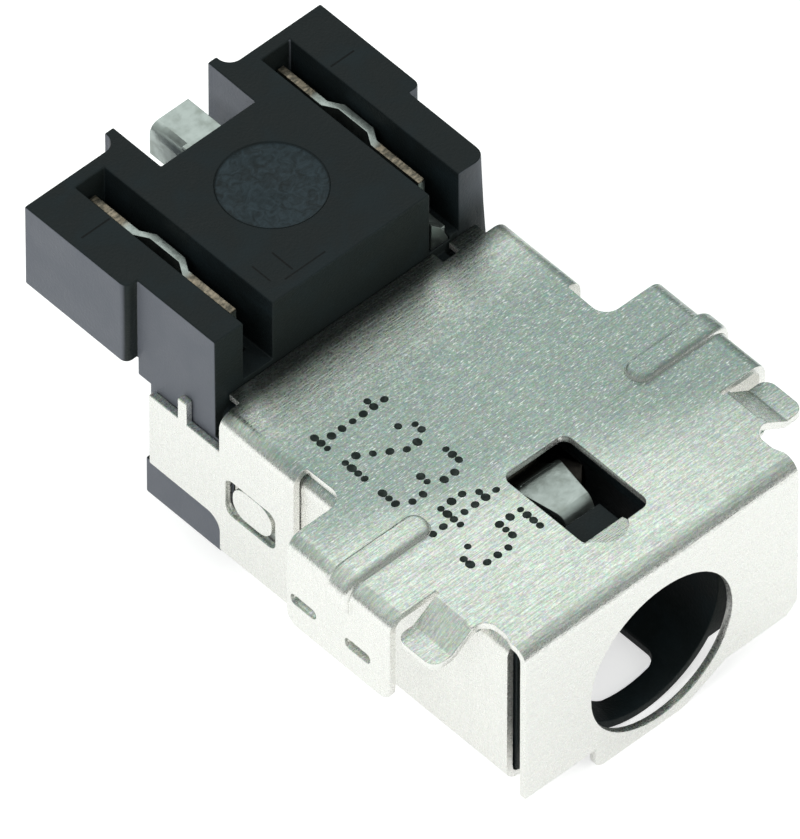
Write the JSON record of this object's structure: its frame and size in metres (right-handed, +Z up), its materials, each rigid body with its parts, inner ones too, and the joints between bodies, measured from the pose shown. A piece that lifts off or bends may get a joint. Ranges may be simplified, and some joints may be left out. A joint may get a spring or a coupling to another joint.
{
  "type": "dc barrel jack",
  "caption": "Shielded DC power jack with a round plug entry in a folded metal shell and a black rear block with upright blade contacts.",
  "frame": {"origin": "on the plug axis at the outer face of the front plate", "axes": "+Y the way the plug goes in, towards the rear block; +Z up, away from the board side; +X across the jack"},
  "size_m": [0.0174, 0.0242, 0.0111],
  "materials": {
    "plated_shell": "fine brushed nickel plate",
    "black_moulding": "fine grained moulded",
    "plated_contact": "bright tin plate over copper alloy"
  },
  "bodies": {
    "root": {"outer_shell": "plated_shell", "inner_shell": "plated_shell", "housing": "black_moulding", "centre_pin": "plated_contact", "pin_blade_contact": "plated_contact", "barrel_blade_contact": "plated_contact", "top_spring_contact": "plated_contact"}
  },
  "joints": []
}
